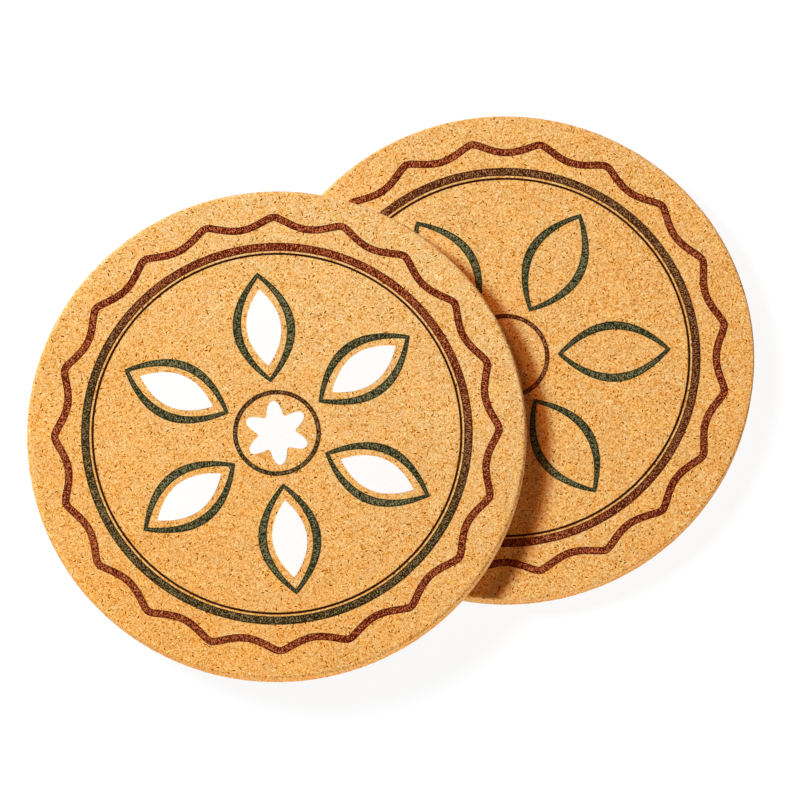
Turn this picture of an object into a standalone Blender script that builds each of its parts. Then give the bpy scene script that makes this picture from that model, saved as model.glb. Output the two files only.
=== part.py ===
"""Two round printed cork coasters, one lying flat on the other. Metres, +Z up.

The origin is the centre of the lower coaster's underside, and the upper coaster
lies towards -X. Each coaster is a cork disc with rounded rims and a set of thin
ink films on its top face, drawn from the rim inwards.
"""

import math

import bmesh
import bpy

# Cork disc
CORK_RADIUS = 0.050
CORK_THICKNESS = 0.005
RIM_ROUNDING = 0.001
RIM_STEPS = 3
ROUND_SEGMENTS = 80
SHARP_ANGLE = math.radians(50)

# The upper coaster on the lower one
CENTRE_DISTANCE = 0.0489
SEAT_GAP = 0.0003
LOWER_TURN = math.radians(42.4)
UPPER_TURN = math.radians(16.7)

# Ink films
INK_THICKNESS = 0.0001
INK_GAP = 0.00003

# Scalloped border: a wavy line of round arches that meet in narrow crests
BORDER_MARGIN = 0.0048
BORDER_LINE = 0.0015
SCALLOP_COUNT = 20
SCALLOP_HEIGHT = 0.00215
SCALLOP_POINTS = 12
CREST_ROUNDING = 0.18

# Thick and thin keylines inside the border
KEYLINE_MARGIN = 0.0024
THICK_LINE = 0.00165
KEYLINE_GAP = 0.0004
THIN_LINE = 0.00045

# Rosette: petal outlines round a hub ring, swelling from tip to middle
ROSETTE_MARGIN = 0.0034
PETAL_COUNT = 6
PETAL_WIDTH = 0.0125
PETAL_LINE = 0.0017
PETAL_TIP = 0.0011
PETAL_POINTS = 20
PETAL_GAP = 0.0016
HUB_RADIUS = 0.0088
HUB_LINE = 0.0009
HUB_SEGMENTS = 40

# White leaves inside the petals, and the white flower inside the hub ring
LEAF_GAP = 0.0011
LEAF_END_GAP = 0.0024
FLOWER_MARGIN = 0.0013
FLOWER_NOTCH = 0.0028
FLOWER_POINTS = 48

# Colours as linear values, and roughness
FINISHES = {
    "cork": ((0.74, 0.41, 0.13), 0.85),
    "red_brown_ink": ((0.17, 0.045, 0.022), 0.6),
    "brown_ink": ((0.15, 0.055, 0.025), 0.6),
    "dark_ink": ((0.06, 0.03, 0.014), 0.6),
    "green_ink": ((0.055, 0.055, 0.03), 0.6),
    "white_ink": ((0.93, 0.93, 0.92), 0.5),
}


def clear_scene():
    for item in list(bpy.data.objects):
        bpy.data.objects.remove(item, do_unlink=True)


def make_material(name):
    colour, roughness = FINISHES[name]
    material = bpy.data.materials.new(name)
    material.use_nodes = True
    shader = material.node_tree.nodes["Principled BSDF"]
    shader.inputs["Base Color"].default_value = (*colour, 1.0)
    shader.inputs["Roughness"].default_value = roughness
    shader.inputs["Metallic"].default_value = 0.0
    return material


def circle(radius, count):
    """Points of a circle, counter-clockwise."""
    step = math.tau / count
    return [(radius * math.cos(i * step), radius * math.sin(i * step)) for i in range(count)]


def scalloped_circle(middle_radius):
    """Points of the border's centreline, with a crest at angle 0."""
    count = SCALLOP_COUNT * SCALLOP_POINTS
    full_drop = math.hypot(1.0, CREST_ROUNDING) - CREST_ROUNDING
    points = []
    for index in range(count):
        angle = math.tau * index / count
        drop = math.hypot(math.sin(SCALLOP_COUNT * angle / 2), CREST_ROUNDING) - CREST_ROUNDING
        radius = middle_radius + SCALLOP_HEIGHT * (0.5 - drop / full_drop)
        points.append((radius * math.cos(angle), radius * math.sin(angle)))
    return points


def offset_loop(points, distance):
    """A counter-clockwise loop moved sideways, outwards for a positive distance."""
    moved = []
    for index, (x, y) in enumerate(points):
        before = points[index - 1]
        after = points[(index + 1) % len(points)]
        run = (after[0] - before[0], after[1] - before[1])
        length = math.hypot(*run)
        moved.append((x + distance * run[1] / length, y - distance * run[0] / length))
    return moved


def pointed_lens(length, width):
    """Points of a lens with two pointed ends on the X axis, centred on the origin."""
    points = []
    for index in range(PETAL_POINTS):
        angle = math.tau * index / PETAL_POINTS
        side = math.sin(angle)
        points.append((0.5 * length * math.cos(angle), 0.5 * width * side * abs(side)))
    return points


def lobed_circle(tip_radius, notch_depth, lobes):
    """Points of a flower outline with round lobes, the first lobe at angle 0."""
    points = []
    for index in range(FLOWER_POINTS):
        angle = math.tau * index / FLOWER_POINTS
        radius = tip_radius - notch_depth * (0.5 - 0.5 * math.cos(lobes * angle))
        points.append((radius * math.cos(angle), radius * math.sin(angle)))
    return points


def add_object(name, work_mesh, material, carrier):
    mesh = bpy.data.meshes.new(name)
    work_mesh.to_mesh(mesh)
    work_mesh.free()
    mesh.materials.append(material)
    item = bpy.data.objects.new(name, mesh)
    bpy.context.scene.collection.objects.link(item)
    item.parent = carrier
    return item


def add_cork_disc(name, material, carrier):
    """A disc standing on its carrier's origin, with both rims rounded."""
    work_mesh = bmesh.new()
    bmesh.ops.create_cone(
        work_mesh, cap_ends=True, segments=ROUND_SEGMENTS,
        radius1=CORK_RADIUS, radius2=CORK_RADIUS, depth=CORK_THICKNESS)
    bmesh.ops.translate(work_mesh, verts=work_mesh.verts, vec=(0.0, 0.0, CORK_THICKNESS / 2))
    disc = add_object(name, work_mesh, material, carrier)
    rounding = disc.modifiers.new("rim_rounding", "BEVEL")
    rounding.width = RIM_ROUNDING
    rounding.segments = RIM_STEPS
    rounding.limit_method = "ANGLE"
    rounding.angle_limit = SHARP_ANGLE
    disc.data.shade_smooth()
    disc.data.set_sharp_from_angle(angle=SHARP_ANGLE)


def add_ink_film(name, material, carrier, outline, opening=None):
    """A flat film on the cork's top face, with an opening of as many points, if any."""
    work_mesh = bmesh.new()
    outer = [work_mesh.verts.new((x, y, 0.0)) for x, y in outline]
    if opening is None:
        work_mesh.faces.new(outer)
    else:
        inner = [work_mesh.verts.new((x, y, 0.0)) for x, y in opening]
        for index in range(len(outer)):
            work_mesh.faces.new((outer[index - 1], outer[index], inner[index], inner[index - 1]))
    film = add_object(name, work_mesh, material, carrier)
    film.location.z = CORK_THICKNESS + INK_GAP
    thickness = film.modifiers.new("film_thickness", "SOLIDIFY")
    thickness.thickness = INK_THICKNESS
    thickness.offset = 1.0
    return film


def add_line_ring(name, material, carrier, outer_radius, line, count):
    add_ink_film(name, material, carrier, circle(outer_radius, count), circle(outer_radius - line, count))


def add_border(prefix, materials, carrier):
    """The scalloped border line. Returns the radius that it leaves free inside."""
    outer_radius = CORK_RADIUS - BORDER_MARGIN
    middle_radius = outer_radius - BORDER_LINE / 2 - SCALLOP_HEIGHT / 2
    path = scalloped_circle(middle_radius)
    add_ink_film(
        prefix + "_scalloped_border", materials["red_brown_ink"], carrier,
        offset_loop(path, BORDER_LINE / 2), offset_loop(path, -BORDER_LINE / 2))
    return middle_radius - SCALLOP_HEIGHT / 2 - BORDER_LINE / 2


def add_keylines(prefix, materials, carrier, border_inner):
    """The thick and the thin ring. Returns the radius that they leave free inside."""
    thick_outer = border_inner - KEYLINE_MARGIN
    thin_outer = thick_outer - THICK_LINE - KEYLINE_GAP
    add_line_ring(
        prefix + "_thick_keyline", materials["brown_ink"], carrier, thick_outer, THICK_LINE, ROUND_SEGMENTS)
    add_line_ring(
        prefix + "_thin_keyline", materials["dark_ink"], carrier, thin_outer, THIN_LINE, ROUND_SEGMENTS)
    return thin_outer - THIN_LINE


def add_rosette(prefix, materials, carrier, keyline_inner, white_print):
    """Hub ring and petal outlines, with white leaves and a white flower on one coaster."""
    tip_radius = keyline_inner - ROSETTE_MARGIN
    root_radius = HUB_RADIUS + PETAL_GAP
    petal_length = tip_radius - root_radius
    middle = (tip_radius + root_radius) / 2
    opening_length = petal_length - 2 * PETAL_TIP
    opening_width = PETAL_WIDTH - 2 * PETAL_LINE
    outline = pointed_lens(petal_length, PETAL_WIDTH)
    opening = pointed_lens(opening_length, opening_width)
    leaf = pointed_lens(opening_length - 2 * LEAF_END_GAP, opening_width - 2 * LEAF_GAP)

    add_line_ring(
        prefix + "_hub_ring", materials["brown_ink"], carrier, HUB_RADIUS, HUB_LINE, HUB_SEGMENTS)
    for index in range(PETAL_COUNT):
        angle = math.tau * index / PETAL_COUNT
        films = [add_ink_film(
            f"{prefix}_petal_{index + 1}", materials["green_ink"], carrier, outline, opening)]
        if white_print:
            films.append(add_ink_film(
                f"{prefix}_white_leaf_{index + 1}", materials["white_ink"], carrier, leaf))
        for film in films:
            film.location.x = middle * math.cos(angle)
            film.location.y = middle * math.sin(angle)
            film.rotation_euler.z = angle
    if white_print:
        flower_tip = HUB_RADIUS - HUB_LINE - FLOWER_MARGIN
        add_ink_film(
            prefix + "_white_flower", materials["white_ink"], carrier,
            lobed_circle(flower_tip, FLOWER_NOTCH, PETAL_COUNT))


def add_coaster(prefix, materials, place, turn, white_print):
    """One coaster, carried by an empty at the centre of its underside."""
    carrier = bpy.data.objects.new(prefix + "_coaster", None)
    bpy.context.scene.collection.objects.link(carrier)
    carrier.location = place
    carrier.rotation_euler.z = turn
    add_cork_disc(prefix + "_cork_disc", materials["cork"], carrier)
    border_inner = add_border(prefix, materials, carrier)
    keyline_inner = add_keylines(prefix, materials, carrier, border_inner)
    add_rosette(prefix, materials, carrier, keyline_inner, white_print)


def main():
    clear_scene()
    materials = {name: make_material(name) for name in FINISHES}
    seat_height = CORK_THICKNESS + INK_GAP + INK_THICKNESS + SEAT_GAP
    add_coaster("lower", materials, (0.0, 0.0, 0.0), LOWER_TURN, white_print=False)
    add_coaster("upper", materials, (-CENTRE_DISTANCE, 0.0, seat_height), UPPER_TURN, white_print=True)
    bpy.context.view_layer.update()


main()
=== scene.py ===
import math

import bpy
import numpy as np
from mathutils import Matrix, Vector


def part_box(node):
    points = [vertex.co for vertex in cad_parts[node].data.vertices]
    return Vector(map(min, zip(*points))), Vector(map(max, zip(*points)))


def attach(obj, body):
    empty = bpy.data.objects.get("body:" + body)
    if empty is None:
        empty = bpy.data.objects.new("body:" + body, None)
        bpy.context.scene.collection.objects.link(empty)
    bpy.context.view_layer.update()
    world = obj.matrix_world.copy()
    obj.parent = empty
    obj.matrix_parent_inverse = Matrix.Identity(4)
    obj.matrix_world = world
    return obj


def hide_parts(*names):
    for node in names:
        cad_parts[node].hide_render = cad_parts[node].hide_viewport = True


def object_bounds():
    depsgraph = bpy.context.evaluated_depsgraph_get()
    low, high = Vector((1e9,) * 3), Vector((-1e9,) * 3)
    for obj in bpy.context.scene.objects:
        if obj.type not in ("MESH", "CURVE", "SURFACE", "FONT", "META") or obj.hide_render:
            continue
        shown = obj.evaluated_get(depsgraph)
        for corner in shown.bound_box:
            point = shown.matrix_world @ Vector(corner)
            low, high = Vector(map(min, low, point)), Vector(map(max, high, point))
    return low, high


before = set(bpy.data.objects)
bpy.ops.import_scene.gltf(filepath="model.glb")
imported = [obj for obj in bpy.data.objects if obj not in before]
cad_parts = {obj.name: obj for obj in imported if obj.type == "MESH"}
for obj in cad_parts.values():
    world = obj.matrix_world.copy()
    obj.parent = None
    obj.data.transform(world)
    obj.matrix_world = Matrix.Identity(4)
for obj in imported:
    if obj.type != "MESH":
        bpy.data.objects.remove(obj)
cadLow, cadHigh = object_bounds()
scene = bpy.context.scene
scene.view_settings.view_transform = "Standard"
print("frame loaded:", len(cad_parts), "nodes")


# node helpers, good for shader trees and geometry trees alike
def addNode(tree, kind, **settings):
    made = tree.nodes.new(kind)
    for key, value in settings.items():
        setattr(made, key, value)
    return made


def feed(tree, socket, value):
    if isinstance(value, bpy.types.NodeSocket):
        tree.links.new(value, socket)
    else:
        socket.default_value = value


def calc(tree, operation, *values):
    made = addNode(tree, "ShaderNodeMath", operation=operation)
    for socket, value in zip(made.inputs, values):
        feed(tree, socket, value)
    return made.outputs[0]


def calcVector(tree, operation, *values):
    made = addNode(tree, "ShaderNodeVectorMath", operation=operation)
    for socket, value in zip(made.inputs, values):
        feed(tree, socket, value)
    return made.outputs[0]


def scaled(tree, vector, factor):
    made = addNode(tree, "ShaderNodeVectorMath", operation="SCALE")
    feed(tree, made.inputs["Vector"], vector)
    feed(tree, made.inputs["Scale"], factor)
    return made.outputs[0]


def ranged(tree, value, fromLow, fromHigh, toLow=0.0, toHigh=1.0):
    made = addNode(tree, "ShaderNodeMapRange", interpolation_type="SMOOTHSTEP")
    for socket, number in zip(made.inputs, (value, fromLow, fromHigh, toLow, toHigh)):
        feed(tree, socket, number)
    return made.outputs[0]


def blended(tree, factor, first, second, way="MIX", held=True):
    made = addNode(tree, "ShaderNodeMix", data_type="RGBA", blend_type=way, clamp_factor=held)
    feed(tree, made.inputs[0], factor)
    feed(tree, made.inputs[6], first)
    feed(tree, made.inputs[7], second)
    return made.outputs[2]


def noiseNode(tree, place, scale, detail=2.0, roughness=0.5):
    made = addNode(tree, "ShaderNodeTexNoise")
    feed(tree, made.inputs["Vector"], place)
    for key, value in (("Scale", scale), ("Detail", detail), ("Roughness", roughness)):
        feed(tree, made.inputs[key], value)
    return made


def cellNode(tree, place, scale, feature="F1"):
    made = addNode(tree, "ShaderNodeTexVoronoi", feature=feature)
    feed(tree, made.inputs["Vector"], place)
    feed(tree, made.inputs["Scale"], scale)
    return made


def channels(tree, colour):
    made = addNode(tree, "ShaderNodeSeparateXYZ")
    feed(tree, made.inputs[0], colour)
    return made.outputs


def socketIn(tree, name, kind, value=None):
    made = tree.interface.new_socket(name, in_out="INPUT", socket_type=kind)
    if value is not None:
        made.default_value = value


def socketOut(tree, name, kind):
    tree.interface.new_socket(name, in_out="OUTPUT", socket_type=kind)


def screenColour(red, green, blue):  # 0 to 255 as on screen, to a linear colour
    shares = [value / 255 for value in (red, green, blue)]
    linear = [s / 12.92 if s <= 0.04045 else ((s + 0.055) / 1.055) ** 2.4 for s in shares]
    return (*linear, 1.0)


# where the coasters lie: turned as in the CAD, with their places read from the frame
coasters = {
    "lower": {"body": "lower_coaster", "turn": math.radians(42.4)},
    "upper": {"body": "upper_coaster", "turn": math.radians(16.7)},
}
for side, coaster in coasters.items():
    low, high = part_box(side + "_cork_disc")
    coaster["centre"] = ((low[0] + high[0]) / 2, (low[1] + high[1]) / 2)
    coaster["underside"] = low[2]
    coaster["top"] = high[2]


# cork finish: sanded granules, dark broken seams between them, flecks of bark and pale bits
corkLook = {               # counts are per mm, sizes in mm
    "granules": 0.62,
    "chips": 1.4,
    "seams": 1.15,
    "seamWidth": 0.14,
    "fineSeams": 2.0,
    "fineSeamWidth": 0.19,
    "seamBreaks": 2.0,     # gaps in a seam, for each granule
    "seamKept": (0.44, 0.6),   # noise where a seam fades in and is whole
    "paleRim": 0.14,       # paler edge along seams and bark, against their darkness
    "fineGrain": 4.2,
    "mottle": 0.14,
    "bark": 1.25,
    "barkLength": 0.42,
    "barkWidth": 0.155,
    "barkShown": (0.1, 1.0),   # lots where a bit of bark starts to show and is full
    "barkFall": 1.6,       # over 1 leaves few bits very dark
    "paleBits": 0.9,
    "paleLength": 0.55,
    "paleWidth": 0.24,
    "bend": 0.9,           # bends the pattern so that no cell looks drawn
    "bendDepth": 0.9,
    "elsewhere": (31.0, 17.0, 5.0),   # another part of the pattern, for layers that must not line up
    "sideDraw": 0.5,       # under 1 draws the grain out down the sides, as the knife does
    "roughness": 0.9,
    "gloss": 0.06,
    "bump": 0.3,
    "bumpDepth": 0.0001,
    "rim": 0.86,           # painted shade: the rounded rim and wall are darker than the face, to tone down the lamp's highlight there
    "rimTilt": (0.13, 0.53),   # where the painted rim shade starts and is full, from 0 on the face to 1 on the wall
}
corkEdges = {              # across a bit or a seam, where 1 is its edge
    "rimRise": (0.7, 1.2),
    "rimFall": (1.3, 2.1),
    "stain": (0.8, 1.9),
    "bitCore": 0.6,        # full up to here
    "seamCore": 0.0,
}
corkShare = {              # how far each layer moves the tone, in shares of full brightness
    "middle": 0.772,
    "granules": 0.035,
    "seams": -0.2,
    "fineSeams": -0.08,
    "fineGrain": 0.64,
    "mottle": 0.06,
    "bark": -0.78,
    "paleBits": 0.09,
    "drift": -0.05,        # painted light gradient: darker where the cork drifts warmer across a disc
}
corkTones = [              # brightness on screen, colour
    (0.22, screenColour(128, 40, 0)),
    (0.46, screenColour(187, 99, 2)),
    (0.62, screenColour(215, 147, 62)),
    (0.72, screenColour(234, 175, 101)),
    (0.84, screenColour(251, 207, 141)),
    (0.96, screenColour(255, 229, 172)),
]
corkTints = {
    "pale": (0.958, 1.063, 1.28, 1.0),
    "warm": (1.037, 0.921, 0.715, 1.0),
    "stain": (1.0, 0.93, 0.42, 1.0),   # round bark and seams
}
corkWarmth = {             # how far each layer turns the cork from pale to warm
    "granules": 0.46,
    "mottle": 0.26,
    "mottleRange": (0.3, 0.7),
    "chips": 0.35,
}
corkDents = {              # dents in the bump, against the fine grain
    "bark": -0.6,
    "seams": -0.5,
}
seamStainShare = 0.5       # stain round a seam against that round bark
perMetre = 1000.0          # patterns are sized in millimetres


def centred(tree, vector):
    return calcVector(tree, "SUBTRACT", vector, (0.5, 0.5, 0.5))


def rimmed(tree, reach, core):  # 1 inside, a little under 0 along the edge, and the stain round it
    rise = ranged(tree, reach, *corkEdges["rimRise"])
    fall = ranged(tree, reach, *corkEdges["rimFall"], 1.0, 0.0)
    rim = calc(tree, "MULTIPLY", rise, fall)
    inner = ranged(tree, reach, core, 1.0, 1.0, 0.0)
    stain = ranged(tree, reach, *corkEdges["stain"], 1.0, 0.0)
    return calc(tree, "MULTIPLY_ADD", rim, -corkLook["paleRim"], inner), stain


def addBits(tree, place, perMm, length, width):  # long bits, each turned its own way
    cells = cellNode(tree, place, perMm)
    lots = channels(tree, cells.outputs["Color"])
    spin = addNode(tree, "ShaderNodeVectorRotate", rotation_type="Z_AXIS")
    feed(tree, spin.inputs["Vector"], calcVector(tree, "SUBTRACT", place, cells.outputs["Position"]))
    feed(tree, spin.inputs["Angle"], calc(tree, "MULTIPLY", lots[0], math.tau))
    stretched = calcVector(tree, "DIVIDE", spin.outputs[0], (length, width, width))
    reach = addNode(tree, "ShaderNodeVectorMath", operation="LENGTH")
    feed(tree, reach.inputs[0], stretched)
    return *rimmed(tree, reach.outputs["Value"], corkEdges["bitCore"]), lots


def brokenSeams(tree, place, perMm, width, breakPlace):
    edges = cellNode(tree, place, perMm, "DISTANCE_TO_EDGE")
    reach = calc(tree, "DIVIDE", edges.outputs[0], width)
    line, stain = rimmed(tree, reach, corkEdges["seamCore"])
    gaps = noiseNode(tree, breakPlace, perMm * corkLook["seamBreaks"], detail=1.0)
    kept = ranged(tree, gaps.outputs[0], *corkLook["seamKept"])
    return calc(tree, "MULTIPLY", line, kept), calc(tree, "MULTIPLY", stain, kept)


def makeCorkGrain():
    tree = bpy.data.node_groups.new("corkGrain", "ShaderNodeTree")
    socketIn(tree, "Place", "NodeSocketVector")
    socketOut(tree, "Tone", "NodeSocketFloat")
    socketOut(tree, "Warmth", "NodeSocketFloat")
    socketOut(tree, "Stain", "NodeSocketFloat")
    socketOut(tree, "Height", "NodeSocketFloat")
    inside = addNode(tree, "NodeGroupInput")
    outside = addNode(tree, "NodeGroupOutput")
    inMm = (perMetre, perMetre, perMetre * corkLook["sideDraw"])
    place = calcVector(tree, "MULTIPLY", inside.outputs["Place"], inMm)
    bend = centred(tree, noiseNode(tree, place, corkLook["bend"]).outputs["Color"])
    bent = calcVector(tree, "ADD", place, scaled(tree, bend, corkLook["bendDepth"]))
    elsewhere = calcVector(tree, "ADD", place, corkLook["elsewhere"])

    granules = cellNode(tree, bent, corkLook["granules"])
    granuleLots = channels(tree, granules.outputs["Color"])
    chipLots = channels(tree, cellNode(tree, bent, corkLook["chips"]).outputs["Color"])
    mottle = noiseNode(tree, place, corkLook["mottle"], detail=3.0, roughness=0.6)
    fine = noiseNode(tree, place, corkLook["fineGrain"], detail=1.0, roughness=0.6)
    seams, seamStain = brokenSeams(tree, bent, corkLook["seams"], corkLook["seamWidth"], elsewhere)
    fineSeams, _ = brokenSeams(tree, bent, corkLook["fineSeams"], corkLook["fineSeamWidth"], elsewhere)
    bark, barkStain, barkLots = addBits(
        tree, place, corkLook["bark"], corkLook["barkLength"], corkLook["barkWidth"])
    barkPick = calc(tree, "POWER", ranged(tree, barkLots[1], *corkLook["barkShown"]), corkLook["barkFall"])
    bark = calc(tree, "MULTIPLY", bark, barkPick)
    pale, _, _ = addBits(
        tree, elsewhere, corkLook["paleBits"], corkLook["paleLength"], corkLook["paleWidth"])

    layers = {
        "granules": calc(tree, "SUBTRACT", granuleLots[0], 0.5),
        "mottle": calc(tree, "SUBTRACT", mottle.outputs[0], 0.5),
        "fineGrain": calc(tree, "SUBTRACT", fine.outputs[0], 0.5),
        "seams": seams,
        "fineSeams": fineSeams,
        "bark": bark,
        "paleBits": pale,
    }
    tone = corkShare["middle"]
    for name, layer in layers.items():
        tone = calc(tree, "MULTIPLY_ADD", layer, corkShare[name], tone)
    feed(tree, outside.inputs["Tone"], tone)
    warmth = ranged(tree, mottle.outputs[0], *corkWarmth["mottleRange"], 0.0, corkWarmth["mottle"])
    warmth = calc(tree, "MULTIPLY_ADD", granuleLots[1], corkWarmth["granules"], warmth)
    warmth = calc(tree, "MULTIPLY_ADD", chipLots[1], corkWarmth["chips"], warmth)
    feed(tree, outside.inputs["Warmth"], warmth)
    barkStain = calc(tree, "MULTIPLY", barkStain, barkPick)
    seamStain = calc(tree, "MULTIPLY", seamStain, seamStainShare)
    feed(tree, outside.inputs["Stain"], calc(tree, "MAXIMUM", barkStain, seamStain))
    height = calc(tree, "MULTIPLY_ADD", bark, corkDents["bark"], fine.outputs[0])
    height = calc(tree, "MULTIPLY_ADD", seams, corkDents["seams"], height)
    feed(tree, outside.inputs["Height"], height)
    return tree


corkGrain = makeCorkGrain()


def newMaterial(name):
    material = bpy.data.materials.new(name)
    material.use_nodes = True
    tree = material.node_tree
    return material, tree, tree.nodes["Principled BSDF"]


def objectPlace(tree):
    return addNode(tree, "ShaderNodeTexCoord").outputs["Object"]


def pointMark(tree, name):
    return addNode(tree, "ShaderNodeAttribute", attribute_name=name).outputs


def dress(tree, shader, look, colour, height):
    feed(tree, shader.inputs["Base Color"], colour)
    shader.inputs["Roughness"].default_value = look["roughness"]
    shader.inputs["Specular IOR Level"].default_value = look["gloss"]
    bump = addNode(tree, "ShaderNodeBump")
    bump.inputs["Strength"].default_value = look["bump"]
    bump.inputs["Distance"].default_value = look["bumpDepth"]
    feed(tree, bump.inputs["Height"], height)
    tree.links.new(bump.outputs["Normal"], shader.inputs["Normal"])


def makeCork():
    material, tree, shader = newMaterial("pressedCork")
    grain = addNode(tree, "ShaderNodeGroup", node_tree=corkGrain)
    feed(tree, grain.inputs["Place"], objectPlace(tree))
    ramp = addNode(tree, "ShaderNodeValToRGB")
    stops = ramp.color_ramp.elements
    while len(stops) < len(corkTones):
        stops.new(0.5)
    for stop, (brightness, colour) in zip(stops, corkTones):
        stop.position = brightness
        stop.color = colour
    # painted light gradient: warmer and darker towards one side of each disc, paler towards the other
    drift = pointMark(tree, "drift")["Fac"]
    tone = calc(tree, "MULTIPLY_ADD", drift, corkShare["drift"], grain.outputs["Tone"])
    feed(tree, ramp.inputs[0], tone)
    warmth = calc(tree, "ADD", grain.outputs["Warmth"], drift)
    tint = blended(tree, warmth, corkTints["pale"], corkTints["warm"], held=False)
    tinted = blended(tree, 1.0, ramp.outputs[0], tint, "MULTIPLY")
    stained = blended(tree, grain.outputs["Stain"], tinted, corkTints["stain"], "MULTIPLY")
    # painted shade: the rounded rim and wall are darkened, to tone down the lamp's highlight on the
    # rounding
    paintedRimShade = ranged(tree, pointMark(tree, "tilt")["Fac"], *corkLook["rimTilt"], 1.0, corkLook["rim"])
    colour = blended(tree, 1.0, stained, paintedRimShade, "MULTIPLY")
    dress(tree, shader, corkLook, colour, grain.outputs["Height"])
    return material


pressedCork = makeCork()
print("cork finish made")


# cork discs: a closed turned body with even faces, then a relief of granules and pits
discSize = {
    "radius": 0.050,
    "rounding": {"lower": 0.0004, "upper": 0.0008},  # the upper one's rim is worn rounder
    "cellsAcross": 200,
    "roundSteps": 6,
    "wallSteps": 5,
}
paintedLightDrift = {              # painted light gradient: the bearing from +X in degrees towards which a disc turns warmer and darker, and how far
    "lower": {"way": 310.0, "amount": 0.11},
    "upper": {"way": 220.0, "amount": 0.3},
}
relief = {
    "granuleSize": 0.0016,
    "granuleDepth": 0.00004,
    "seamReach": 0.22,     # in shares of a granule
    "pitSpacing": 0.0021,
    "pitDepth": 0.00012,
    "pitReach": (0.06, 0.22),   # floor and brim of a pit, in shares of the spacing
    "pitShown": (0.5, 0.8),     # lots where a pit starts to show and is full
    "swell": 0.00003,
    "swellScale": 0.25,    # swells for each granule
}


def diskGrid(cells):  # an even square grid pressed into a unit circle, row by row
    steps = np.linspace(-1.0, 1.0, cells + 1)
    across, along = np.meshgrid(steps, steps)
    wide = np.abs(across) > np.abs(along)
    reach = np.where(wide, across, along)
    safeAcross = np.where(across == 0.0, 1.0, across)
    safeAlong = np.where(along == 0.0, 1.0, along)
    angle = np.where(wide, math.pi / 4 * along / safeAcross, math.pi / 2 - math.pi / 4 * across / safeAlong)
    return np.stack([reach * np.cos(angle), reach * np.sin(angle)], axis=-1).reshape(-1, 2)


def gridEdge(cells):  # point numbers round the grid's edge, counter-clockwise
    wide = cells + 1
    bottom = list(range(cells))
    right = [j * wide + cells for j in range(cells)]
    top = [cells * wide + i for i in range(cells, 0, -1)]
    left = [j * wide for j in range(cells, 0, -1)]
    return bottom + right + top + left


def markPoints(mesh, name, values):
    mark = mesh.attributes.new(name, "FLOAT", "POINT")
    mark.data.foreach_set("value", values.astype(np.float32))


def discMesh(name, centre, underside, top, rounding, drift):
    cells = discSize["cellsAcross"]
    steps = discSize["roundSteps"]
    flat = diskGrid(cells)
    edge = gridEdge(cells)
    edgeWay = flat[edge]
    flatRadius = discSize["radius"] - rounding
    arc = [math.pi / 2 * step / steps for step in range(1, steps + 1)]
    reaches = [flatRadius + rounding * math.sin(angle) for angle in arc]
    drops = [rounding - rounding * math.cos(angle) for angle in arc]
    bend = list(zip(reaches, drops))
    profile = [(reach, top - drop) for reach, drop in bend]   # radius and height of each ring down the side
    wallTop, wallFoot = top - rounding, underside + rounding
    for step in range(1, discSize["wallSteps"]):
        share = step / discSize["wallSteps"]
        profile.append((discSize["radius"], wallTop + (wallFoot - wallTop) * share))
    profile += [(reach, underside + drop) for reach, drop in reversed(bend)]

    def level(points, reach, height):
        return np.column_stack([points * reach + np.array(centre), np.full(len(points), height)])

    rows = [level(flat, flatRadius, top)]
    rows += [level(edgeWay, reach, height) for reach, height in profile]
    rows.append(level(flat, flatRadius, underside))
    points = np.concatenate(rows)
    faceCount, ringCount = len(flat), len(edge)
    rings = [edge]
    rings += [[faceCount + k * ringCount + i for i in range(ringCount)] for k in range(len(profile))]
    underStart = faceCount + len(profile) * ringCount
    rings.append([underStart + i for i in edge])
    faces = []
    wide = cells + 1
    for j in range(cells):
        for i in range(cells):
            corner = j * wide + i
            faces.append((corner, corner + 1, corner + wide + 1, corner + wide))
            below = underStart + corner
            faces.append((below, below + wide, below + wide + 1, below + 1))
    for upperRing, lowerRing in zip(rings, rings[1:]):
        for i in range(ringCount):
            after = (i + 1) % ringCount
            faces.append((upperRing[i], lowerRing[i], lowerRing[after], upperRing[after]))
    mesh = bpy.data.meshes.new(name)
    mesh.from_pydata(points.tolist(), [], faces)
    turning = [step / steps for step in range(1, steps + 1)]
    ringTilts = turning + [1.0] * (discSize["wallSteps"] - 1) + turning[::-1]
    tilts = np.concatenate([np.zeros(faceCount), np.repeat(ringTilts, ringCount), np.zeros(faceCount)])
    markPoints(mesh, "tilt", tilts)
    # the painted light gradient across the disc, marked on its points
    way = math.radians(drift["way"])
    along = (points[:, :2] - np.array(centre)) @ np.array([math.cos(way), math.sin(way)])
    markPoints(mesh, "drift", drift["amount"] * along / discSize["radius"])
    return mesh


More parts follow.
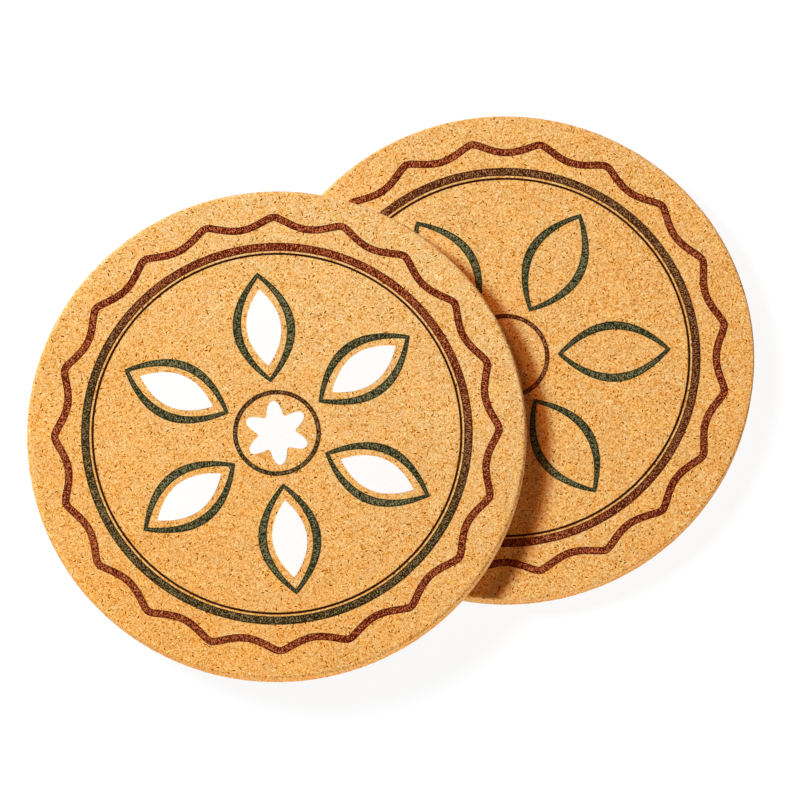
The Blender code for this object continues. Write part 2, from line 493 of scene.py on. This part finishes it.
def makeReliefTree():
    tree = bpy.data.node_groups.new("corkRelief", "GeometryNodeTree")
    socketIn(tree, "Disc", "NodeSocketGeometry")
    socketOut(tree, "Disc", "NodeSocketGeometry")
    for name in ("Granule Size", "Granule Depth", "Pit Spacing", "Pit Depth", "Swell"):
        socketIn(tree, name, "NodeSocketFloat")
    socketIn(tree, "Finish", "NodeSocketMaterial")
    inside = addNode(tree, "NodeGroupInput")
    outside = addNode(tree, "NodeGroupOutput")
    place = addNode(tree, "GeometryNodeInputPosition").outputs[0]
    facing = addNode(tree, "GeometryNodeInputNormal").outputs[0]
    granuleScale = calc(tree, "DIVIDE", 1.0, inside.outputs["Granule Size"])
    seams = cellNode(tree, place, granuleScale, "DISTANCE_TO_EDGE")
    seamDrop = ranged(tree, seams.outputs[0], 0.0, relief["seamReach"], -1.0, 0.0)
    lift = calc(tree, "MULTIPLY", seamDrop, inside.outputs["Granule Depth"])
    swell = noiseNode(tree, place, calc(tree, "MULTIPLY", granuleScale, relief["swellScale"]))
    swellDrop = calc(tree, "SUBTRACT", swell.outputs[0], 1.0)
    lift = calc(tree, "MULTIPLY_ADD", swellDrop, inside.outputs["Swell"], lift)
    pits = cellNode(tree, place, calc(tree, "DIVIDE", 1.0, inside.outputs["Pit Spacing"]))
    pitPick = ranged(tree, channels(tree, pits.outputs["Color"])[0], *relief["pitShown"])
    pitShape = ranged(tree, pits.outputs["Distance"], *relief["pitReach"], -1.0, 0.0)
    pitDrop = calc(tree, "MULTIPLY", pitShape, pitPick)
    lift = calc(tree, "MULTIPLY_ADD", pitDrop, inside.outputs["Pit Depth"], lift)
    move = addNode(tree, "GeometryNodeSetPosition")
    tree.links.new(inside.outputs["Disc"], move.inputs["Geometry"])
    feed(tree, move.inputs["Offset"], scaled(tree, facing, lift))
    smooth = addNode(tree, "GeometryNodeSetShadeSmooth")
    tree.links.new(move.outputs[0], smooth.inputs[0])
    whole = addNode(tree, "GeometryNodeRealizeInstances")
    tree.links.new(smooth.outputs[0], whole.inputs[0])
    paint = addNode(tree, "GeometryNodeSetMaterial")
    tree.links.new(whole.outputs[0], paint.inputs["Geometry"])
    tree.links.new(inside.outputs["Finish"], paint.inputs["Material"])
    tree.links.new(paint.outputs[0], outside.inputs["Disc"])
    return tree


def addTree(piece, tree, **values):
    modifier = piece.modifiers.new(tree.name, "NODES")
    modifier.node_group = tree
    for item in tree.interface.items_tree:
        key = item.name.replace(" ", "")
        if item.in_out == "INPUT" and key in values:
            modifier[item.identifier] = values[key]


def newPiece(name, data):
    piece = bpy.data.objects.new(name, data)
    scene.collection.objects.link(piece)
    return piece


def settle(piece):  # what the modifiers give becomes the piece's own mesh
    graph = bpy.context.evaluated_depsgraph_get()
    mesh = bpy.data.meshes.new_from_object(piece.evaluated_get(graph), depsgraph=graph)
    flat = piece.data
    piece.modifiers.clear()
    piece.data = mesh
    mesh.name = piece.name
    bpy.data.meshes.remove(flat)


reliefTree = makeReliefTree()
for side, coaster in coasters.items():
    mesh = discMesh(
        side + "Blank", coaster["centre"], coaster["underside"], coaster["top"],
        discSize["rounding"][side], paintedLightDrift[side])
    disc = newPiece(side + "CorkDisc", mesh)
    addTree(
        disc, reliefTree, GranuleSize=relief["granuleSize"], GranuleDepth=relief["granuleDepth"],
        PitSpacing=relief["pitSpacing"], PitDepth=relief["pitDepth"], Swell=relief["swell"],
        Finish=pressedCork)
    settle(disc)
    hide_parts(side + "_cork_disc")
    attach(disc, coaster["body"])
    coaster["disc"] = disc
    print(side, "cork disc:", len(disc.data.polygons), "faces")


# inks: matt print, stippled across its lines where the grain of the cork shows through
inkLook = {
    "stipple": 4.7,        # per mm along the line
    "stippleRange": (0.475, 0.635),   # noise where the light tone starts and is full
    "fade": 0.05,          # slow change of depth, per mm
    "fadeDepth": 0.11,
    "edge": 0.34,          # mm of fuller ink along the edges
    "roughness": 0.8,
    "gloss": 0.06,
    "bump": 0.2,
    "bumpDepth": 0.00006,
}
inkColours = {             # deep and light tone of each ink
    "redBrown": (screenColour(80, 15, 0), screenColour(212, 119, 70)),
    "olive": (screenColour(38, 24, 0), screenColour(148, 127, 84)),
    "dark": (screenColour(48, 18, 2), screenColour(100, 56, 22)),
    "green": (screenColour(32, 34, 12), screenColour(134, 128, 90)),
    "white": (screenColour(250, 249, 247), screenColour(255, 255, 255)),
}


def makeInkGrain():
    tree = bpy.data.node_groups.new("inkGrain", "ShaderNodeTree")
    socketIn(tree, "Run", "NodeSocketVector")
    socketIn(tree, "Edge", "NodeSocketFloat")
    socketIn(tree, "Deep", "NodeSocketColor")
    socketIn(tree, "Light", "NodeSocketColor")
    socketOut(tree, "Color", "NodeSocketColor")
    socketOut(tree, "Height", "NodeSocketFloat")
    inside = addNode(tree, "NodeGroupInput")
    outside = addNode(tree, "NodeGroupOutput")
    run = scaled(tree, inside.outputs["Run"], perMetre)
    fine = noiseNode(tree, run, inkLook["stipple"], detail=1.5, roughness=0.6)
    fade = noiseNode(tree, run, inkLook["fade"], detail=1.0)
    slow = calc(tree, "SUBTRACT", fade.outputs[0], 0.5)
    grain = calc(tree, "MULTIPLY_ADD", slow, inkLook["fadeDepth"], fine.outputs[0])
    edge = calc(tree, "MULTIPLY", inside.outputs["Edge"], perMetre)
    inner = ranged(tree, edge, 0.0, inkLook["edge"])
    share = calc(tree, "MULTIPLY", ranged(tree, grain, *inkLook["stippleRange"]), inner)
    colour = blended(tree, share, inside.outputs["Deep"], inside.outputs["Light"])
    feed(tree, outside.inputs["Color"], colour)
    feed(tree, outside.inputs["Height"], fine.outputs[0])
    return tree


inkGrain = makeInkGrain()


def inkIn(tree, ink):
    grain = addNode(tree, "ShaderNodeGroup", node_tree=inkGrain)
    feed(tree, grain.inputs["Run"], pointMark(tree, "inkRun")["Vector"])
    feed(tree, grain.inputs["Edge"], pointMark(tree, "inkEdge")["Fac"])
    grain.inputs["Deep"].default_value, grain.inputs["Light"].default_value = inkColours[ink]
    return grain


def makeInk(name, ink):
    material, tree, shader = newMaterial(name)
    grain = inkIn(tree, ink)
    dress(tree, shader, inkLook, grain.outputs["Color"], grain.outputs["Height"])
    return material


def makeShadedInk(name, centre, turn, start, end):  # red-brown at one side of the ring, olive at the other
    material, tree, shader = newMaterial(name)
    first = inkIn(tree, "redBrown")
    second = inkIn(tree, "olive")
    shift = addNode(tree, "ShaderNodeMapping", vector_type="TEXTURE")
    shift.inputs["Location"].default_value = (*centre, 0.0)
    shift.inputs["Rotation"].default_value = (0.0, 0.0, turn)
    feed(tree, shift.inputs["Vector"], objectPlace(tree))
    along = channels(tree, shift.outputs[0])[0]
    share = ranged(tree, along, start, end)
    colour = blended(tree, share, first.outputs["Color"], second.outputs["Color"])
    dress(tree, shader, inkLook, colour, first.outputs["Height"])
    return material


redBrownInk = makeInk("redBrownInk", "redBrown")
darkInk = makeInk("darkInk", "dark")
greenInk = makeInk("greenInk", "green")
whiteInk = makeInk("whiteInk", "white")
print("inks made")

# the print, as in the CAD solids, drawn from the rim inwards
printSize = {
    "borderOuter": 0.0452,
    "borderLine": 0.0015,
    "scallops": 20,
    "scallopHeight": 0.00215,
    "crestRounding": 0.18,
    "thickOuter": 0.03915,
    "thickLine": 0.00165,
    "thinOuter": 0.0371,
    "thinLine": 0.00045,
    "hubRadius": 0.0088,
    "hubLine": 0.0009,
    "petals": 6,
    "petalRoot": 0.0104,
    "petalTip": 0.03325,
    "petalWidth": 0.0125,
    "petalLine": 0.0017,
    "petalEnd": 0.0011,
    "leafGap": 0.0011,
    "leafEndGap": 0.0024,
    "flowerTip": 0.0066,
    "flowerNotch": 0.0028,
}
filmSize = {
    "pitch": 0.0003,       # spacing of the film's points
    "lift": 0.00004,       # how far the print stands over the cork
    "film": 0.0001,
    "wobble": 0.00007,     # unevenness of its edges
    "wobbles": 1100.0,     # per metre
    "dropFrom": 0.05,      # the film is dropped on the cork from this far above
    "dropLength": 0.1,
    "whiteDrape": 0.15,    # the white lies thick and fills the grain
    "stretch": 0.6,        # under 1 draws the stipple out across the line
    "crisp": math.radians(50.0),   # a film's edge is turned more sharply than this
    "petalRound": 2.3,     # way round a petal and a leaf, against their length
    "leafRound": 2.2,
    "leafRings": 9,        # rings of points in a filled shape
    "flowerRings": 16,
}


def loopPoints(count, shape):
    return np.array([shape(math.tau * i / count) for i in range(count)])


def circleShape(radius):
    return lambda angle: (radius * math.cos(angle), radius * math.sin(angle))


def scallopShape(angle):
    rounding = printSize["crestRounding"]
    drop = math.hypot(math.sin(printSize["scallops"] * angle / 2), rounding) - rounding
    fullDrop = math.hypot(1.0, rounding) - rounding
    crest = printSize["borderOuter"] - printSize["borderLine"] / 2
    radius = crest - printSize["scallopHeight"] * drop / fullDrop
    return (radius * math.cos(angle), radius * math.sin(angle))


def lensShape(length, width):
    def shape(angle):
        side = math.sin(angle)
        return (0.5 * length * math.cos(angle), 0.5 * width * side * abs(side))
    return shape


def flowerShape(angle):
    notch = 0.5 - 0.5 * math.cos(printSize["petals"] * angle)
    radius = printSize["flowerTip"] - printSize["flowerNotch"] * notch
    return (radius * math.cos(angle), radius * math.sin(angle))


def sideways(loop, distance):  # outwards for a counter-clockwise loop
    run = np.roll(loop, -1, axis=0) - np.roll(loop, 1, axis=0)
    run /= np.linalg.norm(run, axis=1)[:, None]
    return loop + distance * np.column_stack([run[:, 1], -run[:, 0]])


def setRun(mesh, runs, edges):
    run = mesh.attributes.new("inkRun", "FLOAT_VECTOR", "POINT")
    run.data.foreach_set("vector", runs.astype(np.float32).ravel())
    markPoints(mesh, "inkEdge", edges)


def markRun(mesh, loops):  # the line's length rolled into a circle, and the way across it, for the stipple
    middle = loops[len(loops) // 2]
    steps = np.linalg.norm(np.roll(middle, -1, axis=0) - middle, axis=1)
    length = steps.sum()
    turn = math.tau * (np.cumsum(steps) - steps) / length
    circle = np.column_stack([np.cos(turn), np.sin(turn)]) * length / math.tau
    rows, edges = [], []
    for loop in loops:
        across = np.linalg.norm(loop - loops[0], axis=1)
        rows.append(np.column_stack([circle, across * filmSize["stretch"]]))
        edges.append(np.minimum(across, np.linalg.norm(loop - loops[-1], axis=1)))
    setRun(mesh, np.concatenate(rows), np.concatenate(edges))


def bandFaces(count, rows):  # quads between closed rows of points
    faces = []
    for k in range(rows):
        near, far = k * count, (k + 1) * count
        for i in range(count):
            after = (i + 1) % count
            faces.append((near + i, near + after, far + after, far + i))
    return faces


def ringMesh(name, outer, inner, across):  # a flat band between two loops
    shares = np.linspace(0.0, 1.0, across + 1)
    loops = [outer + (inner - outer) * share for share in shares]
    count = len(outer)
    points = np.column_stack([np.concatenate(loops), np.zeros(count * len(loops))])
    mesh = bpy.data.meshes.new(name)
    mesh.from_pydata(points.tolist(), [], bandFaces(count, across))
    markRun(mesh, loops)
    return mesh


def patchMesh(name, outline, rings):  # a filled flat shape: shrinking loops closed by a fan
    count = len(outline)
    middle = outline.mean(axis=0)
    loops = [middle + (outline - middle) * (1.0 - k / rings) for k in range(rings)]
    points = np.concatenate([*loops, [middle]])
    points = np.column_stack([points, np.zeros(len(points))])
    faces = bandFaces(count, rings - 1)
    last, hub = (rings - 1) * count, rings * count
    faces += [(last + i, last + (i + 1) % count, hub) for i in range(count)]
    mesh = bpy.data.meshes.new(name)
    mesh.from_pydata(points.tolist(), [], faces)
    setRun(mesh, points, np.full(len(points), inkLook["edge"]))   # all of it counts as far from an edge
    return mesh


def makePrintTree():
    tree = bpy.data.node_groups.new("inkPrint", "GeometryNodeTree")
    socketIn(tree, "Shape", "NodeSocketGeometry")
    socketOut(tree, "Print", "NodeSocketGeometry")
    socketIn(tree, "Copies", "NodeSocketInt", 1)
    for name in ("Ring Radius", "Turn", "Lift", "Wobble", "Drape"):
        socketIn(tree, name, "NodeSocketFloat")
    socketIn(tree, "Centre", "NodeSocketVector")
    socketIn(tree, "Cork", "NodeSocketObject")
    socketIn(tree, "Ink", "NodeSocketMaterial")
    inside = addNode(tree, "NodeGroupInput")
    outside = addNode(tree, "NodeGroupOutput")
    # copies stand round a ring, each turned outwards
    number = addNode(tree, "GeometryNodeInputIndex").outputs[0]
    step = calc(tree, "DIVIDE", math.tau, inside.outputs["Copies"])
    angle = calc(tree, "MULTIPLY_ADD", number, step, inside.outputs["Turn"])
    spot = addNode(tree, "ShaderNodeCombineXYZ")
    for socket, wave in zip(spot.inputs, ("COSINE", "SINE")):
        feed(tree, socket, calc(tree, "MULTIPLY", inside.outputs["Ring Radius"], calc(tree, wave, angle)))
    turned = addNode(tree, "ShaderNodeCombineXYZ")
    feed(tree, turned.inputs[2], angle)
    spots = addNode(tree, "GeometryNodePoints")
    tree.links.new(inside.outputs["Copies"], spots.inputs["Count"])
    feed(tree, spots.inputs["Position"], calcVector(tree, "ADD", spot.outputs[0], inside.outputs["Centre"]))
    copies = addNode(tree, "GeometryNodeInstanceOnPoints")
    tree.links.new(spots.outputs[0], copies.inputs["Points"])
    tree.links.new(inside.outputs["Shape"], copies.inputs["Instance"])
    tree.links.new(turned.outputs[0], copies.inputs["Rotation"])
    whole = addNode(tree, "GeometryNodeRealizeInstances")
    tree.links.new(copies.outputs[0], whole.inputs[0])
    # uneven edges
    place = addNode(tree, "GeometryNodeInputPosition").outputs[0]
    shake = centred(tree, noiseNode(tree, place, filmSize["wobbles"]).outputs["Color"])
    edges = addNode(tree, "GeometryNodeSetPosition")
    tree.links.new(whole.outputs[0], edges.inputs["Geometry"])
    feed(tree, edges.inputs["Offset"], scaled(tree, shake, inside.outputs["Wobble"]))
    # lay it on the cork
    cork = addNode(tree, "GeometryNodeObjectInfo")
    tree.links.new(inside.outputs["Cork"], cork.inputs["Object"])
    drop = addNode(tree, "GeometryNodeRaycast")
    tree.links.new(cork.outputs["Geometry"], drop.inputs["Target Geometry"])
    above = calcVector(tree, "ADD", place, (0.0, 0.0, filmSize["dropFrom"]))
    feed(tree, drop.inputs["Source Position"], above)
    feed(tree, drop.inputs["Ray Direction"], (0.0, 0.0, -1.0))
    feed(tree, drop.inputs["Ray Length"], filmSize["dropLength"])
    rise = addNode(tree, "ShaderNodeCombineXYZ")
    feed(tree, rise.inputs[2], inside.outputs["Lift"])
    fall = calcVector(tree, "SUBTRACT", drop.outputs["Hit Position"], place)
    sink = scaled(tree, fall, inside.outputs["Drape"])
    lay = addNode(tree, "GeometryNodeSetPosition")
    tree.links.new(edges.outputs[0], lay.inputs["Geometry"])
    feed(tree, lay.inputs["Offset"], calcVector(tree, "ADD", sink, rise.outputs[0]))
    smooth = addNode(tree, "GeometryNodeSetShadeSmooth")
    tree.links.new(lay.outputs[0], smooth.inputs[0])
    paint = addNode(tree, "GeometryNodeSetMaterial")
    tree.links.new(smooth.outputs[0], paint.inputs["Geometry"])
    tree.links.new(inside.outputs["Ink"], paint.inputs["Material"])
    tree.links.new(paint.outputs[0], outside.inputs["Print"])
    return tree


printTree = makePrintTree()


def addPrint(side, name, mesh, ink, nodes, copies=1, ringRadius=0.0, drape=1.0):
    coaster = coasters[side]
    piece = newPiece(side + name, mesh)
    addTree(
        piece, printTree, Copies=copies, RingRadius=ringRadius, Turn=coaster["turn"],
        Lift=filmSize["lift"], Wobble=filmSize["wobble"], Drape=drape,
        Centre=(*coaster["centre"], coaster["top"]), Cork=coaster["disc"], Ink=ink)
    film = piece.modifiers.new("film", "SOLIDIFY")
    film.thickness = filmSize["film"]
    film.offset = -1.0
    settle(piece)
    piece.data.set_sharp_from_angle(angle=filmSize["crisp"])
    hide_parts(*[side + "_" + node for node in nodes])
    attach(piece, coaster["body"])
    print(side, name, len(piece.data.polygons), "faces")


def bandOf(name, outerShape, innerShape, length, line):
    count = round(length / filmSize["pitch"])
    across = max(2, round(line / filmSize["pitch"]))
    return ringMesh(name, loopPoints(count, outerShape), loopPoints(count, innerShape), across)


def circleBand(name, outer, line):
    return bandOf(name, circleShape(outer), circleShape(outer - line), math.tau * outer, line)


def borderBand():
    count = round(math.tau * printSize["borderOuter"] / filmSize["pitch"])
    path = loopPoints(count, scallopShape)
    half = printSize["borderLine"] / 2
    across = round(printSize["borderLine"] / filmSize["pitch"])
    return ringMesh("borderBand", sideways(path, half), sideways(path, -half), across)


petalLength = printSize["petalTip"] - printSize["petalRoot"]
petalMiddle = (printSize["petalTip"] + printSize["petalRoot"]) / 2
openLength = petalLength - 2 * printSize["petalEnd"]
openWidth = printSize["petalWidth"] - 2 * printSize["petalLine"]
leafLength = openLength - 2 * printSize["leafEndGap"]
leafWidth = openWidth - 2 * printSize["leafGap"]
petalNumbers = range(1, printSize["petals"] + 1)

shading = {                # the bearing towards which the rings turn olive, and the change's ends in metres
    "lower": {"way": 30.0, "start": -0.062, "end": 0.094},
    "upper": {"way": -130.0, "start": -0.039, "end": 0.012},
}
for side, coaster in coasters.items():
    shade = shading[side]
    shadedInk = makeShadedInk(
        side + "ShadedInk", coaster["centre"], math.radians(shade["way"]), shade["start"], shade["end"])
    addPrint(side, "ScallopedBorder", borderBand(), redBrownInk, ["scalloped_border"])
    thick = circleBand("thickBand", printSize["thickOuter"], printSize["thickLine"])
    addPrint(side, "ThickKeyline", thick, shadedInk, ["thick_keyline"])
    thin = circleBand("thinBand", printSize["thinOuter"], printSize["thinLine"])
    addPrint(side, "ThinKeyline", thin, darkInk, ["thin_keyline"])
    hub = circleBand("hubBand", printSize["hubRadius"], printSize["hubLine"])
    addPrint(side, "HubRing", hub, shadedInk, ["hub_ring"])
    petal = bandOf(
        "petalBand", lensShape(petalLength, printSize["petalWidth"]), lensShape(openLength, openWidth),
        filmSize["petalRound"] * petalLength, printSize["petalLine"])
    addPrint(
        side, "Petals", petal, greenInk, [f"petal_{k}" for k in petalNumbers],
        printSize["petals"], petalMiddle)
leafCount = round(filmSize["leafRound"] * leafLength / filmSize["pitch"])
leafOutline = loopPoints(leafCount, lensShape(leafLength, leafWidth))
leaf = patchMesh("leafPatch", leafOutline, filmSize["leafRings"])
addPrint(
    "upper", "WhiteLeaves", leaf, whiteInk, [f"white_leaf_{k}" for k in petalNumbers],
    printSize["petals"], petalMiddle, filmSize["whiteDrape"])
flowerCount = round(math.tau * printSize["flowerTip"] / filmSize["pitch"])
flower = patchMesh("flowerPatch", loopPoints(flowerCount, flowerShape), filmSize["flowerRings"])
addPrint(
    "upper", "WhiteFlower", flower, whiteInk, ["white_flower"],
    drape=filmSize["whiteDrape"])


# studio: a soft lamp and a warm one from the left, white together, a small one low at the front
# for the rims, a pale room and a floor that keeps the shadow
studio = {
    "lamps": [             # bearing from +X and height in degrees, distance and width in metres
        {"name": "softLamp", "bearing": 135.0, "height": 41.0, "distance": 1.9, "width": 0.5,
         "power": 50.4, "colour": (0.711, 0.908, 1.0)},
        {"name": "warmLamp", "bearing": 110.0, "height": 46.0, "distance": 1.9, "width": 0.5,
         "power": 12.9, "colour": (1.0, 0.404, 0.135)},
        {"name": "frontFill", "bearing": 266.0, "height": 2.0, "distance": 2.0, "width": 0.12,
         "power": 27.5, "colour": (0.97, 0.99, 1.0)},
    ],
    "roomColour": (1.0, 0.45, 0.25, 1.0),
    "roomLow": 0.6,        # light of the room's walls and of its ceiling
    "roomHigh": 0.02,
    "roomTurn": (0.15, 0.6),   # height where the wall starts to give way, and where the ceiling is full
    "floorSize": 3.0,
    "floorWhite": 0.85,    # as the other surfaces see it
    "floorGlow": 0.93,     # how much of the floor's white shows whatever the shadow
    "floorShade": 0.09,
    "floorDrop": 0.0002,
}


def seenDirectly(tree):  # camera, mirror and glass rays
    rays = addNode(tree, "ShaderNodeLightPath")
    seen = calc(tree, "MAXIMUM", rays.outputs["Is Camera Ray"], rays.outputs["Is Glossy Ray"])
    return calc(tree, "MAXIMUM", seen, rays.outputs["Is Transmission Ray"])


def makeFloor():
    half = studio["floorSize"] / 2
    corners = [(-half, -half), (half, -half), (half, half), (-half, half)]
    mesh = bpy.data.meshes.new("floor")
    mesh.from_pydata([(x, y, cadLow[2] - studio["floorDrop"]) for x, y in corners], [], [(0, 1, 2, 3)])
    floor = newPiece("floor", mesh)
    material = bpy.data.materials.new("paleFloor")
    material.use_nodes = True
    tree = material.node_tree
    tree.nodes.clear()
    plain = addNode(tree, "ShaderNodeBsdfDiffuse")
    plain.inputs["Color"].default_value = (*[studio["floorWhite"]] * 3, 1.0)
    shadowed = addNode(tree, "ShaderNodeBsdfDiffuse")
    shadowed.inputs["Color"].default_value = (*[studio["floorShade"]] * 3, 1.0)
    glow = addNode(tree, "ShaderNodeEmission")
    glow.inputs["Strength"].default_value = studio["floorGlow"]
    shown = addNode(tree, "ShaderNodeAddShader")
    tree.links.new(glow.outputs[0], shown.inputs[0])
    tree.links.new(shadowed.outputs[0], shown.inputs[1])
    choose = addNode(tree, "ShaderNodeMixShader")
    feed(tree, choose.inputs[0], seenDirectly(tree))
    tree.links.new(plain.outputs[0], choose.inputs[1])
    tree.links.new(shown.outputs[0], choose.inputs[2])
    result = addNode(tree, "ShaderNodeOutputMaterial")
    tree.links.new(choose.outputs[0], result.inputs["Surface"])
    mesh.materials.append(material)


def makeRoom():
    world = bpy.data.worlds.new("paleRoom")
    scene.world = world
    world.use_nodes = True
    tree = world.node_tree
    room = tree.nodes["Background"]
    room.inputs["Color"].default_value = studio["roomColour"]
    way = addNode(tree, "ShaderNodeTexCoord").outputs["Generated"]
    height = channels(tree, way)[2]
    strength = ranged(tree, height, *studio["roomTurn"], studio["roomLow"], studio["roomHigh"])
    feed(tree, room.inputs["Strength"], strength)
    white = addNode(tree, "ShaderNodeBackground")
    white.inputs["Color"].default_value = (1.0, 1.0, 1.0, 1.0)
    choose = addNode(tree, "ShaderNodeMixShader")
    feed(tree, choose.inputs[0], seenDirectly(tree))
    tree.links.new(room.outputs[0], choose.inputs[1])
    tree.links.new(white.outputs[0], choose.inputs[2])
    tree.links.new(choose.outputs[0], tree.nodes["World Output"].inputs["Surface"])


def placeFacing(name, data, target, way, distance):
    holder = newPiece(name, data)
    holder.location = target + way * distance
    holder.rotation_euler = way.to_track_quat("Z", "Y").to_euler()
    return holder


def makeLamp(name, bearing, height, distance, width, power, colour):
    lamp = bpy.data.lights.new(name, "AREA")
    lamp.shape = "DISK"
    lamp.size = width
    lamp.energy = power
    lamp.color = colour
    aim = Vector(((cadLow[0] + cadHigh[0]) / 2, (cadLow[1] + cadHigh[1]) / 2, 0.0))
    bearing, height = math.radians(bearing), math.radians(height)
    flat = math.cos(height)
    way = Vector((math.cos(bearing) * flat, math.sin(bearing) * flat, math.sin(height)))
    placeFacing(name, lamp, aim, way, distance)


makeFloor()
makeRoom()
for lamp in studio["lamps"]:
    makeLamp(**lamp)

# camera, fitted to the outlines of both discs
shot = {
    "target": (-0.02263, 0.00003, 0.0),
    "azimuth": -20.3,
    "elevation": 77.0,
    "distance": 1.835,
    "lens": 410.2,
    "sensor": 36.0,
}


def makeCamera():
    camera = bpy.data.cameras.new("camera")
    camera.lens = shot["lens"]
    camera.sensor_width = shot["sensor"]
    azimuth = math.radians(shot["azimuth"])
    elevation = math.radians(shot["elevation"])
    flat = math.cos(elevation)
    way = Vector((math.sin(azimuth) * flat, -math.cos(azimuth) * flat, math.sin(elevation)))
    scene.camera = placeFacing("camera", camera, Vector(shot["target"]), way, shot["distance"])


makeCamera()
print("studio and camera set")
